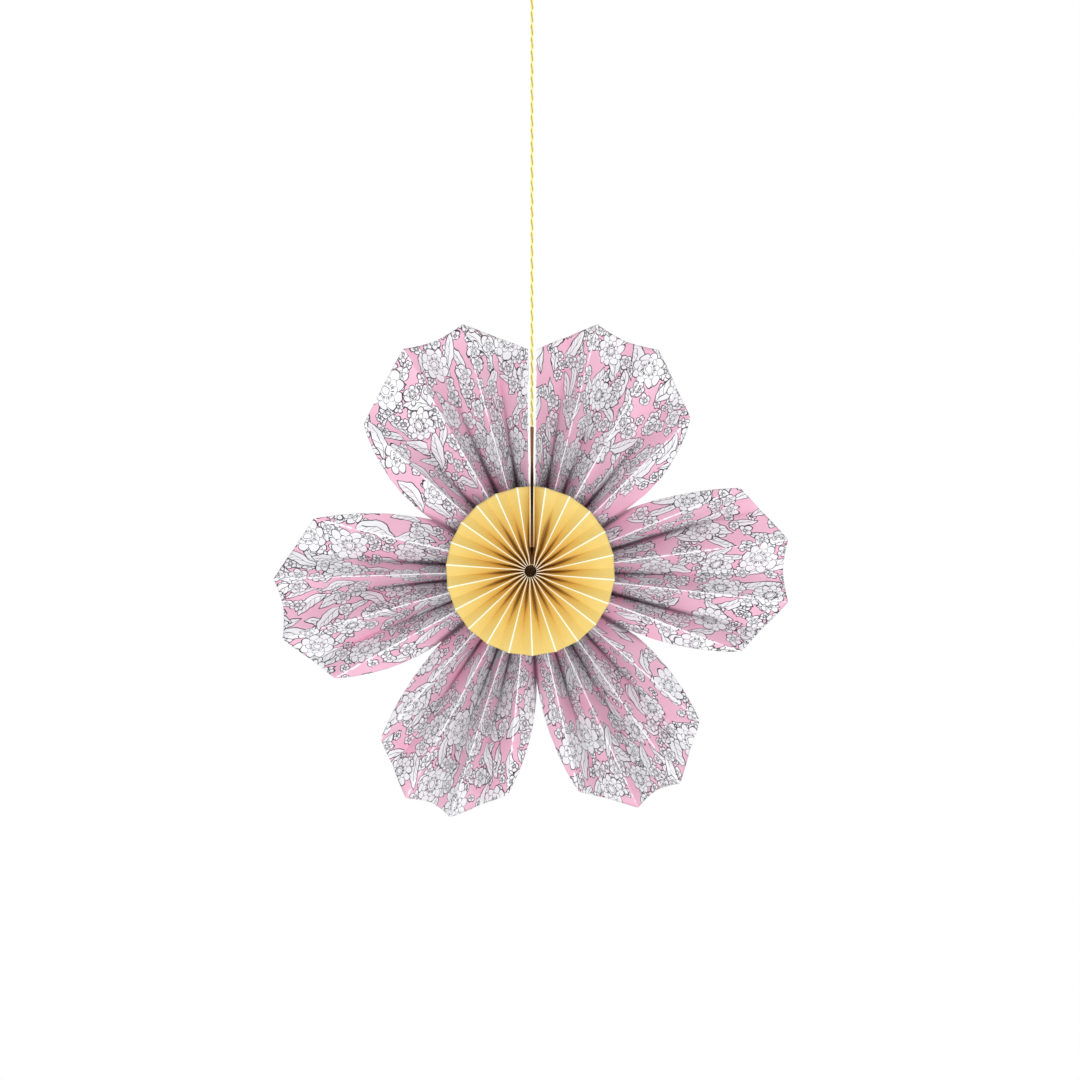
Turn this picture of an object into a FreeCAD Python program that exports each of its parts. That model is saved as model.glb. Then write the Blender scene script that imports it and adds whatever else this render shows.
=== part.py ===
"""Hanging paper flower, in millimetres.

A printed paper strip is pleated and cut into six petals, and a smaller plain strip is pleated in
front of it. Both are opened into full circles. The ends of both strips are glued to the outer faces
of two white end cards, which stand side by side at the top of the flower, and a pad of brown tape
joins the cards. A twine runs up from between them to a tied loop. A card disc holds the folds
together at the back of the hub.

The origin is inside the loop's crown, where a hook carries the flower. +Z is up, and the flower
faces -Y. The pieces are drawn about the hub, with the ridges of the petals in the plane y = 0, and
are then moved to their place under the loop.
"""
import FreeCAD, Part
import math
import os

V = FreeCAD.Vector

# Materials as cut
PAPER = 0.25  # thickness of both pleated papers
BOARD = 0.7  # thickness of the end cards
DISC_BOARD = 0.5  # thickness of the disc on the back

# Petal fan
REACH = 130.0  # of the longest petal, from the hub to its crown
PETALS = [  # direction in degrees, how far its three pleats are opened, how much it falls short of
    # that reach, and how far its two sides swell out of the straight line to the notch
    (115.1, (13.9, 14.4, 18.9), 2.0, (4.5, 5.3)),
    (187.6, (15.3, 13.5, 13.4), 1.4, (3.2, 4.5)),
    (246.2, (13.0, 10.6, 12.2), 0.4, (3.1, 3.7)),
    (300.4, (12.1, 10.7, 13.3), 0.0, (3.3, 4.5)),
    (360.3, (14.1, 13.8, 14.6), 0.2, (3.5, 3.0)),
    (426.0, (16.2, 14.8, 13.4), 2.2, (6.0, 4.5)),
]
RIDGES_A_PETAL = 4
PETAL_HUB = 4.0  # radius of the hole inside the petal fan
PETAL_SHALLOWEST = 5.0  # depth that is left at the rim of the pleat that is opened widest
SHOULDER_DROP = 17.0  # an outer ridge of a petal ends this much short of its reach
CROWN_SCALLOP = 1.6  # how far the cut dips between the two longest ridges
SHOULDER_SWELL = 0.7  # how far it swells between a long ridge and an outer one
NOTCH = 55.7  # distance of the notches from the hub
BLANK_SPARE = 3.0  # the strip is this much wider than the reach before the petals are cut

# Centre fan
CENTRE_RADIUS = 42.2  # length of its ridges, from the hub
CENTRE_HUB = 3.0  # radius of the hole inside it
CENTRE_SHALLOWEST = 2.9  # depth that is left at the rim of the pleat that is opened widest
CENTRE_RIDGES = 22
CENTRE_FIRST = 99.1  # direction of the first ridge
CENTRE_LAST = 439.6  # direction of the last one, a turn on
CENTRE_FIRST_PITCH = 15.1  # angle from the first ridge to the second, and later ones are wider

# Slot between the end cards
SLOT_X = 0.75  # the slot's middle stands this far beside the hub
CARD_BOTTOM = 12.0  # height of the cards' lower ends above the hub
CARD_TOP = 95.0  # height of their upper ends
GAP_BOTTOM = 0.5  # gap between the cards at their lower ends

# What holds the fans
DISC_RADIUS = 14.0
PAD_BOTTOM = 14.0  # height of the pad's lower edge above the hub
PAD_TOP = 72.0
PAD_GRIP = 16.0  # height of its upper part, which reaches forward round the twine
PAD_SLANT = 10.0  # height over which it then slants back
PAD_FRONT = 0.5  # the upper part's front stands this far behind the petals' ridges
PAD_DEEP = 10.0  # and the lower part's front this far
PAD_INSET = 3.0  # the pad stops this far short of the cards' back edges
PAD_SPLIT = 14.0  # depth of the split in the pad, which holds the twine's end

# Twine
TWINE = 1.4  # diameter
TWINE_EASE = 0.05  # clearance on each side of the twine, in the split and between the cards
TWINE_Y = 2.0  # the middle of the twine is this far behind the petals' ridges
KNOT_HEIGHT = 290.0  # height of the knot's underside above the hub
KNOT_LENGTH = 5.5
KNOT_EDGE = 0.1  # the knot's flat ends reach this far past the loop's legs
KNOT_SWELL = 0.5  # and its middle this much further
LOOP_LENGTH = 20.0  # from the knot's top to the inside of the loop's crown
LOOP_RADIUS = 5.0  # radius of the crown, to the middle of the twine
LEG_GAP = 0.2  # gap between the two legs of the loop where they leave the knot

TWINE_FOOT = PAD_TOP - PAD_SPLIT  # height of the twine's lower end
HUB_DROP = KNOT_HEIGHT + KNOT_LENGTH + LOOP_LENGTH  # from the hook down to the hub
HUB = V(-SLOT_X, -TWINE_Y, -HUB_DROP)


def ring(radius, degrees):
    """The point at that distance and direction from the hub, in the plane of the petals' ridges."""
    angle = math.radians(degrees)
    return V(radius * math.cos(angle), 0, radius * math.sin(angle))


def direction(point):
    return math.degrees(math.atan2(point.z, point.x))


def pushed_back(point, depth):
    return V(point.x, depth, point.z)


def gap_half(height):
    """Half the gap between the end cards at that height above the hub. The twine's end wedges them
    open."""
    opening = TWINE + 2 * TWINE_EASE - GAP_BOTTOM
    return (GAP_BOTTOM + opening * (height - CARD_BOTTOM) / (TWINE_FOOT - CARD_BOTTOM)) / 2


def on_card(height, side):
    """The middle of the paper where an end panel lies on an end card. side is -1 on the left."""
    return V(SLOT_X + side * (gap_half(height) + BOARD + PAPER / 2), 0, height)


# Directions of all the ridges, counter-clockwise from the slot
PETAL_RIDGES = []
for middle, openings, short, swells in PETALS:
    first = middle - sum(openings) / 2
    PETAL_RIDGES += [first + sum(openings[:k]) for k in range(len(openings) + 1)]
PITCHES = CENTRE_RIDGES - 1
WIDER = (CENTRE_LAST - CENTRE_FIRST - PITCHES * CENTRE_FIRST_PITCH) * 2 / PITCHES / (PITCHES - 1)
CENTRE_DIRECTIONS = [
    CENTRE_FIRST + k * CENTRE_FIRST_PITCH + WIDER * k * (k - 1) / 2 for k in range(CENTRE_RIDGES)
]

# A panel is as wide as half of the widest pleat, with the shallowest depth left behind it
BLANK = REACH + BLANK_SPARE
PETAL_WIDEST = max(
    math.sin(math.radians(openings[k] / 2)) * (REACH - short - (k != 1) * SHOULDER_DROP / 2)
    for middle, openings, short, swells in PETALS
    for k in range(len(openings))
)
PETAL_PANEL = math.hypot(PETAL_WIDEST, PETAL_SHALLOWEST)
CENTRE_WIDEST = CENTRE_RADIUS * math.sin(
    math.radians(CENTRE_DIRECTIONS[-1] - CENTRE_DIRECTIONS[-2]) / 2
)
CENTRE_PANEL = math.hypot(CENTRE_WIDEST, CENTRE_SHALLOWEST)


def span(radius):
    """The direction of the left end panel at that distance from the hub, and the turn from there,
    counter-clockwise, to the right one."""
    start = direction(on_card(radius, -1))
    return start, direction(on_card(radius, 1)) + 360 - start


def fanned(radius, hub, rim, inner):
    """Where the folds on the front are at that distance from the hub. The first and the last lie on
    the end cards. The inner ones have their own directions at the rim, stay in proportion between
    the cards on the way in, and at the hub they stand evenly round the hole."""
    start, turn = span(radius)
    rim_start, rim_turn = span(rim)
    packed = max(0, (CARD_BOTTOM - radius) / (CARD_BOTTOM - hub)) ** 2
    points = [on_card(radius, -1)]
    for k, own in enumerate(inner, 1):
        opened = (own - rim_start) / rim_turn
        even = k / (len(inner) + 1)
        points.append(ring(radius, start + turn * (opened + (even - opened) * packed)))
    return points + [on_card(radius, 1)]


def fold_depth(chord, panel, shallowest):
    """How far one fold stands behind the next when the panel between them spans that chord."""
    return math.sqrt(max(panel**2 - chord**2, shallowest**2))


def valley(left, right, panel, shallowest):
    """The fold in the middle behind two ridges."""
    depth = fold_depth((right - left).Length / 2, panel, shallowest)
    return pushed_back((left + right) / 2, depth)


def petal_section(radius):
    """The petal fan's strip at that distance from the hub: end panel, pleats, end panel."""
    ridges = fanned(radius, PETAL_HUB, BLANK, PETAL_RIDGES[1:-1])
    at_notch = fanned(min(radius, NOTCH), PETAL_HUB, BLANK, PETAL_RIDGES[1:-1])
    section = [pushed_back(ridges[0], PETAL_PANEL), ridges[0]]
    for k in range(1, len(ridges)):
        fold = valley(ridges[k - 1], ridges[k], PETAL_PANEL, PETAL_SHALLOWEST)
        if k % RIDGES_A_PETAL == 0:  # outside a notch, the fold is as deep as it is there
            held = valley(at_notch[k - 1], at_notch[k], PETAL_PANEL, PETAL_SHALLOWEST)
            fold = pushed_back(fold, held.y)
        section += [fold, ridges[k]]
    return section + [pushed_back(ridges[-1], PETAL_PANEL)]


def centre_section(radius):
    """The centre fan's strip, in front of the petal fan: end panel, pleats, end panel. The end
    panels stand on the cards, trimmed to the plane of the ridges."""
    lines = fanned(radius, CENTRE_HUB, CENTRE_RADIUS, CENTRE_DIRECTIONS)
    folds = [
        pushed_back(end, fold_depth((end - near).Length, CENTRE_PANEL, CENTRE_SHALLOWEST))
        for end, near in ((lines[0], lines[1]), (lines[-1], lines[-2]))
    ]
    section = [lines[0], folds[0], lines[1]]
    for k in range(2, len(lines) - 1):
        section += [valley(lines[k - 1], lines[k], CENTRE_PANEL, CENTRE_SHALLOWEST), lines[k]]
    section += [folds[1], lines[-1]]
    return [point - V(0, CENTRE_PANEL, 0) for point in section]


def stations(*marks):
    """Distances from the hub: the marks, and the middle of each stretch between them."""
    middles = [(near + far) / 2 for near, far in zip(marks, marks[1:])]
    return sorted([*marks, *middles])


def offset_lines(row, along, ridges):
    """The points of the sheet's two faces at one station, as a list for each fold line.

    On the inside of a fold the two faces of the paper meet in one point, half a thickness from both
    panels, and on the outside the fold is bevelled by two.
    """
    front, back = [], []
    last = len(row) - 1
    for j, point in enumerate(row):
        panels = [row[n + 1] - row[n] for n in (j - 1, j) if 0 <= n < last]
        normals = [along[j].cross(panel).normalize() * (PAPER / 2) for panel in panels]
        apart = [point + normal for normal in normals], [point - normal for normal in normals]
        if j in (0, last):
            front.append(apart[0])
            back.append(apart[1])
            continue
        inner = (normals[0] + normals[1]) / (1 + normals[0].dot(normals[1]) / (PAPER / 2) ** 2)
        front.append(apart[0] if ridges[j] else [point + inner])
        back.append([point - inner] if ridges[j] else apart[1])
    return front, back


def facets(first, second):
    """Flat triangles between two lines of as many points."""
    faces = []
    for a, b, c, d in zip(first, first[1:], second, second[1:]):
        faces.append(Part.Face(Part.makePolygon([a, b, c, a])))
        faces.append(Part.Face(Part.makePolygon([b, d, c, b])))
    return faces


def folded_sheet(section, radii):
    """A solid sheet of paper through the fold lines that section(radius) gives at those distances
    from the hub. Its panels are flat facets between them, and its middle surface runs straight from
    fold to fold."""
    rows = [section(radius) for radius in radii]
    ridges = [j > 0 and line.y < rows[0][j - 1].y for j, line in enumerate(rows[0])]
    fronts, backs = [], []
    for k, row in enumerate(rows):
        ahead, behind = rows[min(k + 1, len(rows) - 1)], rows[max(k - 1, 0)]
        along = [after - before for after, before in zip(ahead, behind)]
        front, back = offset_lines(row, along, ridges)
        fronts.append(sum(front, []))
        backs.append(sum(back, []))
    faces = []
    for side in (fronts, backs):
        for near, far in zip(side, side[1:]):
            faces += facets(near, far)
    for n in (0, -1):
        faces += facets([row[n] for row in fronts], [row[n] for row in backs])
    for k in (0, -1):
        faces += end_facets(rows[k], fronts[k], backs[k], ridges)
    return closed(faces)


def end_facets(row, front, back, ridges):
    """The cut edge of the sheet across the folds: a triangle at each fold, two between them."""
    faces = []
    i = j = 0
    for n in range(len(row) - 1):
        if 0 < n and ridges[n]:
            faces.append(Part.Face(Part.makePolygon([front[i], front[i + 1], back[j], front[i]])))
            i += 1
        elif 0 < n:
            faces.append(Part.Face(Part.makePolygon([back[j], back[j + 1], front[i], back[j]])))
            j += 1
        faces += facets(front[i : i + 2], back[j : j + 2])
        i += 1
        j += 1
    return faces


def closed(faces):
    shell = Part.makeShell(faces)
    shell.sewShape()
    solid = Part.Solid(shell)
    if solid.Volume < 0:
        solid.reverse()
    return solid


def bow(start, end, rise, inside):
    """An arc from start to end that swells away from the point inside by rise."""
    chord = end - start
    outward = V(chord.z, 0, -chord.x).normalize()
    middle = (start + end) / 2
    if outward.dot(middle - inside) < 0:
        outward = -outward
    return Part.Arc(start, middle + outward * rise, end).toShape()


def petal_outline():
    """The outline of the six petals seen from the front. It is closed straight over the slot."""
    starts = range(0, len(PETAL_RIDGES), RIDGES_A_PETAL)
    ridges = [PETAL_RIDGES[k : k + RIDGES_A_PETAL] for k in starts]
    edges = []
    previous = None
    for (middle, openings, short, swells), petal in zip(PETALS, ridges):
        reach = REACH - short
        shoulder = reach - SHOULDER_DROP
        inside = ring(reach / 2, middle)
        tips = [
            ring(length, angle) for length, angle in zip([shoulder, reach, reach, shoulder], petal)
        ]
        if petal is ridges[0]:
            tips[0] = on_card(shoulder, -1)
        if petal is ridges[-1]:
            tips[3] = on_card(shoulder, 1)
        if previous:
            notch = ring(NOTCH, (previous[1] + petal[0]) / 2)
            edges.append(bow(previous[0], notch, previous[3], previous[2]))
            edges.append(bow(notch, tips[0], swells[0], inside))
        edges.append(bow(tips[0], tips[1], SHOULDER_SWELL, inside))
        edges.append(bow(tips[1], tips[2], -CROWN_SCALLOP, inside))
        edges.append(bow(tips[2], tips[3], SHOULDER_SWELL, inside))
        previous = tips[3], petal[3], inside, swells[1]
    edges.append(Part.makeLine(edges[-1].lastVertex(True).Point, edges[0].firstVertex(True).Point))
    return Part.Wire(Part.__sortEdges__(edges))


def end_panel_offcut(side, short, swell):
    """What is cut off an end panel, which carries half a notch: a prism across the panel."""
    start = V(0, 2 * PAPER, REACH - short - SHOULDER_DROP)
    notch = V(0, PETAL_PANEL, NOTCH)
    chord = (notch - start).normalize()
    middle = (start + notch) / 2 + V(0, -chord.z, chord.y) * swell
    arc = Part.Arc(start, middle, notch).toShape()
    beyond = [notch, V(0, BLANK, NOTCH), V(0, BLANK, BLANK), V(0, start.y, BLANK), start]
    face = Part.Face(Part.Wire([arc, *Part.makePolygon(beyond).Edges]))
    face.translate(V(SLOT_X, 0, 0))
    return face.extrude(V(side * (on_card(BLANK, 1).x - SLOT_X + PAPER), 0, 0))


def petal_fan():
    rim = (NOTCH + BLANK) / 2
    blank = folded_sheet(petal_section, stations(PETAL_HUB, CARD_BOTTOM, NOTCH, rim, BLANK))
    outline = Part.Face(petal_outline())
    outline.translate(V(0, -PETAL_PANEL, 0))
    fan = blank.common(outline.extrude(V(0, 3 * PETAL_PANEL, 0)))
    first, last = PETALS[0], PETALS[-1]
    fan = fan.cut(end_panel_offcut(-1, first[2], first[3][0]))
    return fan.cut(end_panel_offcut(1, last[2], last[3][1]))


def centre_fan():
    return folded_sheet(centre_section, stations(CENTRE_HUB, CARD_BOTTOM, CENTRE_RADIUS))


def card_part(side, top, front):
    """An upright board beside the gap, from the cards' lower ends up, and back to the disc."""
    inner = [V(SLOT_X + side * gap_half(z), front, z) for z in (CARD_BOTTOM, top)]
    across = V(side * BOARD, 0, 0)
    face = Part.Face(Part.makePolygon([*inner, inner[1] + across, inner[0] + across, inner[0]]))
    return face.extrude(V(0, PETAL_PANEL - front, 0))


def end_card(side):
    """A white board between the end panels. It is as deep as both fans as far as the centre fan
    goes, and as deep as the petal fan above that."""
    card = card_part(side, CARD_TOP, 0).fuse(card_part(side, CENTRE_RADIUS, -CENTRE_PANEL))
    return card.removeSplitter()


def closing_pad():
    """Brown tape folded into the gap between the cards. Its upper part is split from above round
    the twine, and below that it stays deep in the gap."""
    corners = [
        V(SLOT_X + side * gap_half(z), 0, z)
        for side, z in ((-1, PAD_BOTTOM), (-1, PAD_TOP), (1, PAD_TOP), (1, PAD_BOTTOM))
    ]
    gap = Part.Face(Part.makePolygon([*corners, corners[0]])).extrude(V(0, PETAL_PANEL, 0))
    grip = PAD_TOP - PAD_GRIP
    seen = [(PAD_DEEP, PAD_BOTTOM), (PAD_DEEP, grip - PAD_SLANT), (PAD_FRONT, grip)]
    seen += [(PAD_FRONT, PAD_TOP), (PETAL_PANEL - PAD_INSET, PAD_TOP)]
    seen += [(PETAL_PANEL - PAD_INSET, PAD_BOTTOM)]
    side = [V(SLOT_X - TWINE, y, z) for y, z in seen]
    pad = gap.common(Part.Face(Part.makePolygon([*side, side[0]])).extrude(V(2 * TWINE, 0, 0)))
    split = TWINE + 2 * TWINE_EASE
    corner = V(SLOT_X - TWINE, TWINE_Y - split / 2, TWINE_FOOT)
    return pad.cut(Part.makeBox(2 * TWINE, split, 2 * PAD_SPLIT, corner))


def back_disc():
    return Part.makeCylinder(DISC_RADIUS, DISC_BOARD, V(0, PETAL_PANEL, 0), V(0, 1, 0))


def on_twine(x, height):
    return V(SLOT_X + x, TWINE_Y, height)


def hanging_twine():
    return Part.makeCylinder(TWINE / 2, KNOT_HEIGHT - TWINE_FOOT, on_twine(0, TWINE_FOOT))


def loop_knot():
    """The knot's outer shape: a barrel with flat ends, where the twine and the loop meet it."""
    flat = LEG_GAP / 2 + TWINE + KNOT_EDGE
    third = KNOT_LENGTH / 3
    outside = [(flat, 0), (flat + KNOT_SWELL, third), (flat + KNOT_SWELL, 2 * third)]
    profile = [V(), *[V(x, 0, z) for x, z in [*outside, (flat, 3 * third)]], V(0, 0, 3 * third), V()]
    knot = Part.Face(Part.makePolygon(profile)).revolve(V(), V(0, 0, 1), 360)
    knot.translate(on_twine(0, KNOT_HEIGHT))
    return knot


def hanging_loop():
    """Two straight legs from the knot that run tangent into the round crown."""
    top = KNOT_HEIGHT + KNOT_LENGTH
    centre = HUB_DROP + TWINE / 2 - LOOP_RADIUS
    foot = (LEG_GAP + TWINE) / 2
    # the angle above the horizontal, seen from the crown's centre, at which a leg leaves the crown
    leaves = math.asin(LOOP_RADIUS / math.hypot(centre - top, foot))
    leaves -= math.atan2(foot, centre - top)
    radial = V(math.cos(leaves), 0, -math.sin(leaves))
    crown_centre = on_twine(0, centre)
    touch = crown_centre + radial * LOOP_RADIUS
    down = (on_twine(foot, top) - touch).normalize()
    section = Part.Face(Part.Wire(Part.makeCircle(TWINE / 2, touch, down)))
    crown = section.revolve(crown_centre, V(0, -1, 0), 180 + 2 * math.degrees(leaves))
    leg = section.extrude(down * LOOP_LENGTH)  # longer than it shows, and cut at the knot
    other = leg.mirror(crown_centre, V(1, 0, 0))
    wide = 4 * LOOP_LENGTH
    below = Part.makeBox(wide, wide, wide, on_twine(-wide / 2, top) - V(0, wide / 2, wide))
    return crown.fuse([leg, other]).cut(below)


PIECES = {
    "petal_fan": petal_fan(),
    "centre_fan": centre_fan(),
    "left_end_card": end_card(-1),
    "right_end_card": end_card(1),
    "closing_pad": closing_pad(),
    "back_disc": back_disc(),
    "hanging_twine": hanging_twine(),
    "loop_knot": loop_knot(),
    "hanging_loop": hanging_loop(),
}

os.makedirs("parts", exist_ok=True)
for name, shape in PIECES.items():
    shape.translate(HUB)
    shape.exportStep(f"parts/{name}.step")
    print(name, shape.isValid(), len(shape.Solids), round(shape.Volume, 1), shape.optimalBoundingBox())
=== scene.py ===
# %% [markdown]
# # A hanging paper flower
# The flower is two strips of paper, pleated like an accordion and opened into full circles. The
# large strip is printed and cut into six petals, and the small one is plain yellow. Two white cards
# close the circle at the top, and a twine carries it. This lesson loads the measured model of the
# flower, makes each sheet of paper again as a fine mesh with its print on it, twists the twine from
# its two yarns, and then lights the whole like a small studio picture.

# %% Load the measured model
import math
import random
from collections import namedtuple

import bpy
import numpy as np
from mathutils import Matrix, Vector


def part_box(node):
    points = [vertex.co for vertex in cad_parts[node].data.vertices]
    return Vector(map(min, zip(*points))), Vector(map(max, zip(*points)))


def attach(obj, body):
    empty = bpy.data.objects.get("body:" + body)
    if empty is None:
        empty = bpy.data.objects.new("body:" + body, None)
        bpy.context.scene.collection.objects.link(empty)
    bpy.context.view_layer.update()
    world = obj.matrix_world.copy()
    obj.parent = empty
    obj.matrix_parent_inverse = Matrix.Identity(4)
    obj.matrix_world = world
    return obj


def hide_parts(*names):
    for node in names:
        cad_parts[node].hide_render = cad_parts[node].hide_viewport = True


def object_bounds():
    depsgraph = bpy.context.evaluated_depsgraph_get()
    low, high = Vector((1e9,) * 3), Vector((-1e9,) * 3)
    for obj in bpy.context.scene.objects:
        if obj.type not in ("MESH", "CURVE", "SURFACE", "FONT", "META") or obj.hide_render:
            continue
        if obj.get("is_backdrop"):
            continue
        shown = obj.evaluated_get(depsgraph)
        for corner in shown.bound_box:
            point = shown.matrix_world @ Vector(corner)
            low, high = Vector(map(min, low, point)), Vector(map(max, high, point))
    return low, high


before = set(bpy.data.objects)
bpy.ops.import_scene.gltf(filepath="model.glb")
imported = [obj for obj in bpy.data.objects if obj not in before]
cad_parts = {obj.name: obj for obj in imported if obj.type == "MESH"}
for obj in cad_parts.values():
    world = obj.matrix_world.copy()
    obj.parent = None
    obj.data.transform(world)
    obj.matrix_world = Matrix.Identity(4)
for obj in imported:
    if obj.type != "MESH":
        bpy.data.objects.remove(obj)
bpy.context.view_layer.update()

MM = 0.001
print("nodes", sorted(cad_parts))


# %% [markdown]
# ## Sizes of the folded strips
# A pleated strip has only a few real sizes: how wide one panel is, in which direction each ridge
# points once it is opened, and where its ends lie on the cards. Everything else follows, because
# paper doesn't stretch. The more a pleat is opened, the shallower it becomes. So the mesh needs the
# same sizes as the solid model, and the width of the panels is read back from the solids.

# %% Sizes, in millimetres, from the hub
PAPER = 0.25
REACH = 130.0  # from the hub to the ends of the longest petal's ridges
Petal = namedtuple("Petal", "middle openings short swells")
PETALS = [  # direction in degrees, openings of the pleats, how much it falls short, its sides' swell
    Petal(115.1, (13.9, 14.4, 18.9), 2.0, (4.5, 5.3)),
    Petal(187.6, (15.3, 13.5, 13.4), 1.4, (3.2, 4.5)),
    Petal(246.2, (13.0, 10.6, 12.2), 0.4, (3.1, 3.7)),
    Petal(300.4, (12.1, 10.7, 13.3), 0.0, (3.3, 4.5)),
    Petal(360.3, (14.1, 13.8, 14.6), 0.2, (3.5, 3.0)),
    Petal(426.0, (16.2, 14.8, 13.4), 2.2, (6.0, 4.5)),
]
RIDGES_A_PETAL = 4
PETAL_HUB = 4.0  # where the petals' strip starts
SHALLOWEST = 5.0  # the least depth of a pleat
SHOULDER_DROP = 17.0  # how much nearer the hub the outer two ridges of a petal end
CROWN_SCALLOP = 1.6  # how far the cut dips between the inner two ridges
SHOULDER_SWELL = 0.7  # and how far it swells beside them
NOTCH = 55.7  # from the hub to the foot of a notch
BLANK_SPARE = 3.0  # how much wider the strip is before it is cut
CENTRE_RADIUS = 42.2
CENTRE_HUB = 3.0
CENTRE_SHALLOWEST = 2.9
CENTRE_RIDGES = 22
CENTRE_FIRST, CENTRE_LAST = 99.1, 439.6  # directions of the first and the last ridge
CENTRE_FIRST_PITCH = 15.1  # from the first ridge to the second

card_low, card_high = (np.array(corner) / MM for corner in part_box("left_end_card"))
disc_low, disc_high = (np.array(corner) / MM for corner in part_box("back_disc"))
twine_low, twine_high = (np.array(corner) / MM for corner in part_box("hanging_twine"))
TWINE = float(twine_high[0] - twine_low[0])
hub = (disc_low + disc_high) / 2  # seen from the front, as the disc covers the hub from behind
CARD_BOTTOM = float(card_low[2] - hub[2])
SLOT_X = float(-hub[0])  # the slot and the twine lie at x = 0
print("hub at", hub.round(2), "and the cards start", round(CARD_BOTTOM, 2), "mm above it")


# %% [markdown]
# ## Where the folds run
# A pleated circle is awkward to model by hand, because every panel leans its own way. It is easy
# to compute: at a given distance from the hub, half of a pleat's opening and the panel's width are
# two sides of a right triangle, and the third side is how far back the valley lies. These helpers
# give each fold line as a row of points from the hub to the rim. Most work in plan, which here means
# as seen from the front: x to the right and height above the hub.

# %% Fold lines
HUB_Y = -2.0  # the plane of the petals' ridges, in millimetres
PETAL_PANEL = float(card_high[1]) - HUB_Y
CENTRE_PANEL = HUB_Y - float(card_low[1])
TWINE_FOOT = float(twine_low[2] - hub[2])
GAP_BOTTOM, BOARD, TWINE_EASE = 0.5, 0.7, 0.05  # the slot's foot, a card, the twine's play
CLOSING_RUN, CLOSEST = 7.0, 0.3  # how the strips' ends draw together below the cards
HUB = np.array([hub[0], HUB_Y, hub[2]])


def ring(radius, degrees):
    angle = np.radians(degrees)
    return np.stack([radius * np.cos(angle), radius * np.sin(angle)], -1)


def slot_width(height):
    opening = TWINE + 2 * TWINE_EASE - GAP_BOTTOM
    return GAP_BOTTOM + opening * (height - CARD_BOTTOM) / (TWINE_FOOT - CARD_BOTTOM)


def on_card(height, side):
    """Where a strip's end lies at that height above the hub: side is -1 on the left card."""
    closing = np.clip((height - CARD_BOTTOM) / CLOSING_RUN + 1, CLOSEST, 1)
    x = SLOT_X + side * closing * (slot_width(height) / 2 + BOARD + PAPER / 2)
    return np.stack([x, height], -1)


def span(radius):
    """The direction of the strip's left end, and the turn from there to its right end."""
    left, right = on_card(radius, -1), on_card(radius, 1)
    start = np.degrees(np.arctan2(left[..., 1], left[..., 0]))
    return start, np.degrees(np.arctan2(right[..., 1], right[..., 0])) + 360 - start


def fanned(radius, hub_radius, rim, inner):
    """The front folds in plan at those distances from the hub: one for each direction in inner,
    and one on each card. Below the cards they are packed evenly, whatever their directions."""
    start, turn = span(radius)
    rim_start, rim_turn = span(np.array(rim))
    packed = np.clip((CARD_BOTTOM - radius) / (CARD_BOTTOM - hub_radius), 0, None) ** 2
    lines = [on_card(radius, -1)]
    for k, own in enumerate(inner, 1):
        opened = (own - rim_start) / rim_turn
        even = k / (len(inner) + 1)
        lines.append(ring(radius, start + turn * (opened + (even - opened) * packed)))
    return lines + [on_card(radius, 1)]


def folded_back(plan, depth):
    return np.stack([plan[:, 0], np.full(len(plan), depth), plan[:, 1]], -1)


def fold_depth(chord, panel, shallowest):
    """How far back a valley lies behind its ridges, for half of the pleat's opening."""
    return np.sqrt(np.maximum(panel**2 - chord**2, shallowest**2))


def half_chord(left, right):
    """Half of a pleat's opening, between the plans of its two ridges."""
    return np.linalg.norm(right - left, axis=-1) / 2


ridge_directions = []
for petal in PETALS:
    first = petal.middle - sum(petal.openings) / 2
    ridge_directions += [first + sum(petal.openings[:k]) for k in range(RIDGES_A_PETAL)]
pitches = CENTRE_RIDGES - 1
# each pitch of the centre is this much wider than the one before it
wider = (CENTRE_LAST - CENTRE_FIRST - pitches * CENTRE_FIRST_PITCH) * 2 / pitches / (pitches - 1)
centre_directions = [
    CENTRE_FIRST + k * CENTRE_FIRST_PITCH + wider * k * (k - 1) / 2 for k in range(CENTRE_RIDGES)
]
BLANK = REACH + BLANK_SPARE
print(len(ridge_directions), "ridges on the petals,", len(centre_directions), "on the centre")


# %% [markdown]
# ## The two folded strips
# Both strips start on the left card, go once round the hub and end on the right card. Between every
# two ridges lies a valley, whose depth follows from the opening there. On real paper no crease is
# perfect, so the petals' back folds bow a little to one side. A notch is cut through two panels, and
# beyond its foot nothing is left of the valley between them, so it keeps its depth from there on.

# %% The two strips as fold lines
FINE = 600  # stations along each fold line
LEAN = 0.16  # how far a back fold may bow out of the middle, as a share of its pleat


def petal_folds(leans):
    """leans says how far each back fold bows out of the middle."""
    radii = np.linspace(PETAL_HUB, BLANK, FINE)
    ridges = fanned(radii, PETAL_HUB, BLANK, ridge_directions[1:-1])
    at_notch = fanned(np.minimum(radii, NOTCH), PETAL_HUB, BLANK, ridge_directions[1:-1])
    folds = [folded_back(ridges[0], PETAL_PANEL), folded_back(ridges[0], 0)]
    for k in range(1, len(ridges)):
        pair = at_notch if k % RIDGES_A_PETAL == 0 else ridges
        depth = fold_depth(half_chord(pair[k - 1], pair[k]), PETAL_PANEL, SHALLOWEST)
        share = 0.5 + leans[k] * np.sin(np.pi * np.clip(radii / BLANK, 0, 1))
        plan = ridges[k - 1] + share[:, None] * (ridges[k] - ridges[k - 1])
        folds.append(folded_back(plan, depth))
        folds.append(folded_back(ridges[k], 0))
    folds.append(folded_back(ridges[-1], PETAL_PANEL))
    return radii, np.array(folds)


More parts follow.
